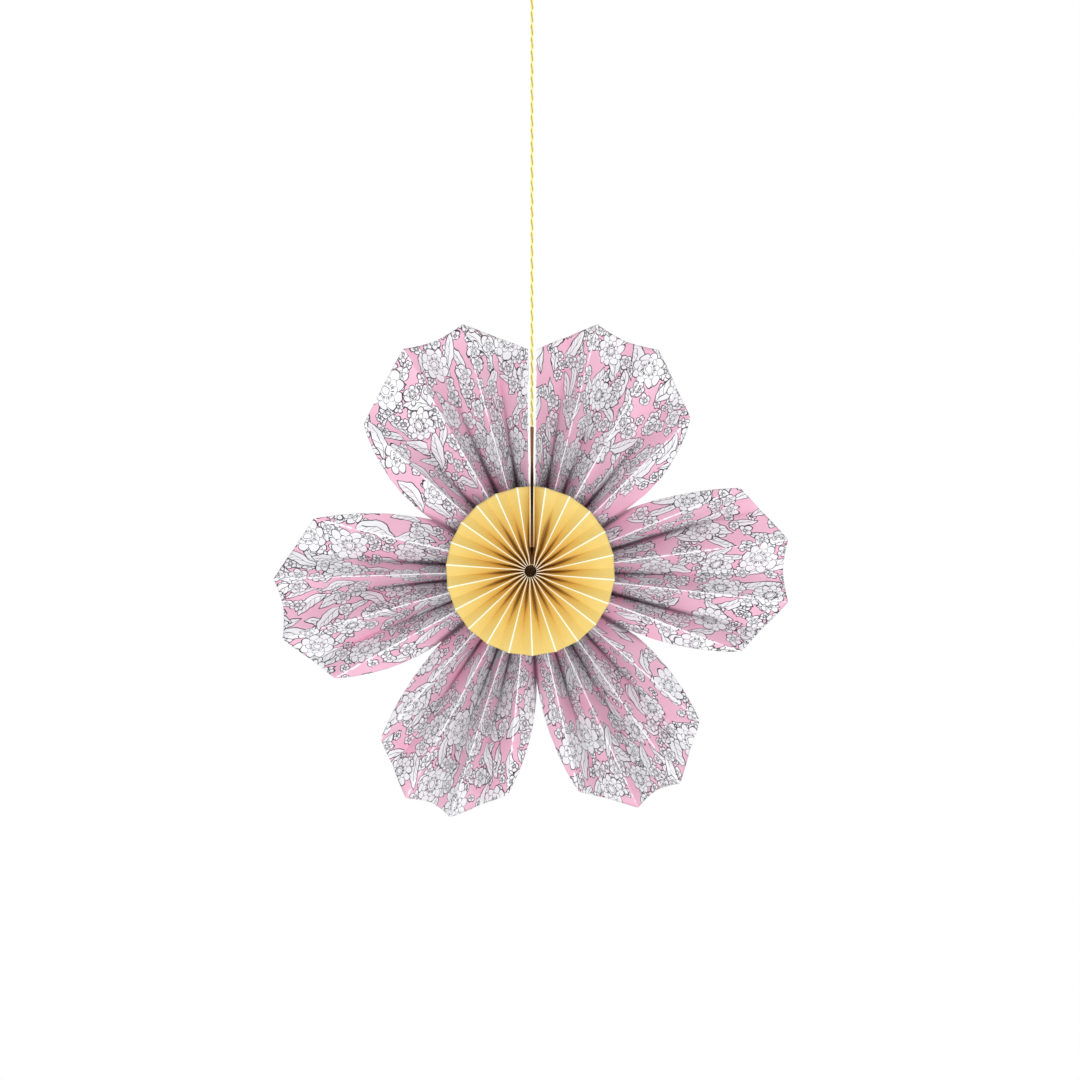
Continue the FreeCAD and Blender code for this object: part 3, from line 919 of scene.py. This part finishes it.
def white_board():
    stuff = Stuff("white_board", srgb(248, 247, 244), srgb(240, 239, 236), 0.7, 500.0)
    x, y, z = (part / MM for part in stuff.split(stuff.place))
    height = z - hub[2]
    off = x.math("ABSOLUTE") - slot_width(height) / 2
    front = (y < HUB_Y - CENTRE_PANEL + 1) * (height < CENTRE_RADIUS)
    # the yellow flap, then painted shade on the front edges near the hub and on the faces beside the
    # slot
    for share, colour in (
        (front * (off > FLAP_FROM), srgb(222, 170, 62)),
        (front * height.step(*SHADED_BELOW) * 0.85, srgb(158, 98, 38)),
        ((off < SLOT_SHADE_EDGE) * height.step(*SLOT_SHADE_ENDS), srgb(70, 38, 16)),
    ):
        stuff.colour = stuff.mix(share, stuff.colour, colour)
    return stuff.finished(0.2)


board = white_board()
for node, finish in (
    ("left_end_card", board),
    ("right_end_card", board),
    ("closing_pad", bare("brown_tape", srgb(124, 80, 46), srgb(104, 66, 38), 0.8)),
    ("back_disc", bare("brown_card", srgb(190, 140, 100), srgb(172, 124, 86), 0.8, 700.0)),
):
    put_on(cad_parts[node], finish)
print("finishes", sorted(m.name for m in bpy.data.materials))


# %% [markdown]
# ## Baker's twine
# The twine hangs taut and straight, from the tape in the slot up to the knot. Its middle line is
# a smooth curve through a few points, and its length is measured along that line.

# %% The twine's route
LAY = 6.5  # over which length a yarn goes once round
STRANDS = 2
STRAND = 0.36  # radius of a yarn
SIDES, STEP = 9, 0.3  # sides of its tube, and the distance from one ring to the next
ROUTE = [(0, 0, -0.2575), (0, 0, -0.2435), (0, 0, -0.1415), (0, 0, -0.0255)]
LOOP_ROUTE = [
    (-0.0008, 0, -0.0205), (-0.0016, 0, -0.0170), (-0.0050, 0, -0.0080), (-0.0058, 0, 0.0000),
    (0, 0, 0.0014), (0.0058, 0, 0.0000), (0.0050, 0, -0.0080), (0.0016, 0, -0.0170),
    (0.0008, 0, -0.0205),
]


def smooth_line(name, points):
    """The points that a smooth curve with those control points passes through."""
    curve = bpy.data.curves.new(name, "CURVE")
    curve.dimensions = "3D"
    curve.resolution_u = 24
    spline = curve.splines.new("NURBS")
    spline.points.add(len(points) - 1)
    for place, point in zip(spline.points, points):
        place.co = (*point, 1)
    spline.order_u = 3
    spline.use_endpoint_u = True
    carrier = bpy.data.objects.new(name, curve)
    mesh = bpy.data.meshes.new_from_object(carrier)
    line = np.array([vertex.co[:] for vertex in mesh.vertices])
    bpy.data.objects.remove(carrier)
    return line


def evenly(line, step):
    """The line again, with points about one step apart."""
    along = np.concatenate([[0], np.cumsum(np.linalg.norm(np.diff(line, axis=0), axis=1))])
    places = np.linspace(0, along[-1], max(int(along[-1] / step), 8))
    return places, np.stack([np.interp(places, along, line[:, c]) for c in range(3)], -1)


straight = smooth_line("twine_route", ROUTE)


# %% [markdown]
# ## Twisting the yarns
# The twine is two cotton yarns twisted together, one mustard and one pale yellow, so flecks of the
# darker one climb round it. Each yarn is a thin tube that winds round the middle line. The same
# function winds the yarns of the straight run, of the turns of the knot and of the loop above it.

# %% Twisting the yarns
def beside(line):
    """Two directions square to the line, at each of its points."""
    ahead = np.gradient(line, axis=0)
    ahead /= np.linalg.norm(ahead, axis=1)[:, None]
    aside = np.cross(ahead, [0.0, 1.0, 0.0])
    aside /= np.linalg.norm(aside, axis=1)[:, None]
    return aside, np.cross(aside, ahead)


def tube(line, radius):
    """Vertices and faces of a round tube along the line, closed at both ends."""
    aside, up = (way[:, None] for way in beside(line))
    turn = np.linspace(0, 2 * np.pi, SIDES, endpoint=False)[:, None]
    rings = line[:, None] + radius * (np.cos(turn) * aside + np.sin(turn) * up)
    starts = range(0, (len(line) - 1) * SIDES, SIDES)
    around = [(j, (j + 1) % SIDES) for j in range(SIDES)]
    faces = [(k + j, k + n, k + SIDES + n, k + SIDES + j) for k in starts for j, n in around]
    faces += [tuple(range(SIDES))[::-1], tuple(range((len(line) - 1) * SIDES, len(line) * SIDES))]
    return rings.reshape(-1, 3), faces


def twisted(name, line):
    """A mesh of the yarns that wind round the line."""
    radius = STRAND * MM
    offset = TWINE * MM / 2 - radius
    places, middle = evenly(line, STEP * MM)
    aside, up = beside(middle)
    vertices, faces, kinds = [], [], []
    for strand in range(STRANDS):
        turn = 2 * np.pi * (places / (LAY * MM) + strand / STRANDS)[:, None]
        points, sides = tube(middle + offset * (np.cos(turn) * aside + np.sin(turn) * up), radius)
        faces += [tuple(len(vertices) + index for index in face) for face in sides]
        vertices += points.tolist()
        kinds += [strand] * len(sides)
    mesh = bpy.data.meshes.new(name)
    mesh.from_pydata(vertices, [], faces)
    made = bpy.data.objects.new(name, mesh)
    bpy.context.scene.collection.objects.link(made)
    put_on(made, *cotton)
    mesh.polygons.foreach_set("material_index", kinds)
    mesh.polygons.foreach_set("use_smooth", [True] * len(faces))
    print(name, len(faces), "faces")
    return made


mustard_cotton = bare("mustard_cotton", srgb(206, 188, 62), srgb(186, 168, 46), 0.85, 2500.0, 0.3)
pale_cotton = bare("pale_yellow_cotton", srgb(246, 238, 128), srgb(236, 226, 106), 0.85, 2500.0, 0.3)
cotton = (mustard_cotton, pale_cotton)
twine = twisted("twine_strands", straight)


# %% [markdown]
# ## Knot and loop
# The twine ends in a loop to hang it by, and the knot below the loop is drawn as what can be seen of
# it: a few turns round the doubled twine, which swell in the middle like a small barrel.

# %% Knot and loop
KNOT_TURNS, KNOT_POINTS = 2.6, 90
KNOT_FOOT, KNOT_HEIGHT = -24.7, 3.9
KNOT_NECK, KNOT_BULGE = 0.9, 0.65  # radius of its ends, and how much wider the middle is


def knot_turns():
    """The middle line of the turns, which climb from the straight run to the loop's legs."""
    turn = np.linspace(0, KNOT_TURNS * 2 * np.pi, KNOT_POINTS)
    share = np.linspace(0, 1, KNOT_POINTS)
    radius = (KNOT_NECK + KNOT_BULGE * np.sin(np.pi * share)) * MM
    height = (KNOT_FOOT + KNOT_HEIGHT * share) * MM
    return np.stack([radius * np.sin(turn), radius * np.cos(turn), height], -1)


knot = twisted("knot_strands", knot_turns())
loop = twisted("loop_strands", smooth_line("loop_route", LOOP_ROUTE))
for made, node in ((twine, "hanging_twine"), (knot, "loop_knot"), (loop, "hanging_loop")):
    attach(made, "root")
    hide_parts(node)
print("the knot is", round(2 * (KNOT_NECK + KNOT_BULGE) + TWINE, 1), "mm across")


# %% [markdown]
# ## Camera
# The flower is seen straight from the front by a long lens, so the petals on all sides look alike.
# The view ends above the straight run of the twine, so the knot and the loop stay out of it.

# %% Camera
camera_data = bpy.data.cameras.new("camera")
camera_data.lens = 100
camera_data.sensor_width = 36
camera = bpy.data.objects.new("camera", camera_data)
camera.location = (0.004, -1.502, -0.300)
camera.rotation_euler = (math.radians(90), 0, 0)
bpy.context.scene.collection.objects.link(camera)
bpy.context.scene.camera = camera
width_seen = camera_data.sensor_width / camera_data.lens * (HUB_Y * MM - camera.location.y)
print("the camera sees", round(width_seen / MM), "mm across at the flower")


# %% [markdown]
# ## Light
# One large soft disc of light stands behind the camera and lower than it. It shows every ridge
# bright and every valley dark, whichever way a pleat points. The surroundings fill the shade with
# an almost white light. What the camera and reflections see of them is pure white.

# %% Light and surroundings
FILL = 0.85


def soft_light(name, place, aim, size, power):
    light = bpy.data.lights.new(name, "AREA")
    light.shape = "DISK"
    light.size = size
    light.energy = power
    made = bpy.data.objects.new(name, light)
    made.location = place
    made.rotation_euler = (Vector(aim) - Vector(place)).to_track_quat("-Z", "Y").to_euler()
    bpy.context.scene.collection.objects.link(made)
    print(name, power, "W over", size, "m")


flower = (float(HUB[0]) * MM, 0, float(HUB[2]) * MM)
soft_light("key", (0.05, -2.0, -1.0), flower, size=0.9, power=24)

world = bpy.data.worlds.new("surroundings")
bpy.context.scene.world = world
world.use_nodes = True
nodes, links = world.node_tree.nodes, world.node_tree.links
seen, ambient = nodes["Background"], nodes.new("ShaderNodeBackground")
seen.inputs["Color"].default_value = (1, 1, 1, 1)
ambient.inputs["Color"].default_value = (1, 0.985, 0.99, 1)
ambient.inputs["Strength"].default_value = FILL
path, choose = nodes.new("ShaderNodeLightPath"), nodes.new("ShaderNodeMixShader")
share = path.outputs["Is Camera Ray"]
for other in ("Is Glossy Ray", "Is Transmission Ray"):
    either = nodes.new("ShaderNodeMath")
    either.operation = "MAXIMUM"
    links.new(share, either.inputs[0])
    links.new(path.outputs[other], either.inputs[1])
    share = either.outputs[0]
links.new(share, choose.inputs[0])
links.new(ambient.outputs[0], choose.inputs[1])
links.new(seen.outputs[0], choose.inputs[2])
links.new(choose.outputs[0], nodes["World Output"].inputs["Surface"])
bpy.context.scene.view_settings.view_transform = "Standard"


# %% [markdown]
# ## Floor
# The floor is a plain pale disc far below the flower, out of the view. It only sends some light up.
# It is declared as part of the stage, so it isn't taken for a piece of the flower.

# %% Floor
FLOOR = -1.07
bpy.ops.mesh.primitive_circle_add(vertices=96, radius=1.0, fill_type="NGON", location=(0, 0, FLOOR))
floor = bpy.context.object
floor.name = "pale_floor"
put_on(floor, bare("pale_floor_paint", srgb(238, 238, 238), srgb(233, 233, 233), 0.8, 12.0, 0.1))
floor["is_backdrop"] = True
print("the floor lies", round(float(HUB[2]) - FLOOR / MM), "mm below the hub")


# %% [markdown]
# ## Size
# The dressed flower should fill the same box as its solids, so its own box is printed in millimetres.

# %% Write down the size and finish
dressed_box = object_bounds()
in_mm = [[round(float(c) / MM, 1) for c in corner] for corner in dressed_box]
print("dressed box in millimetres", in_mm)
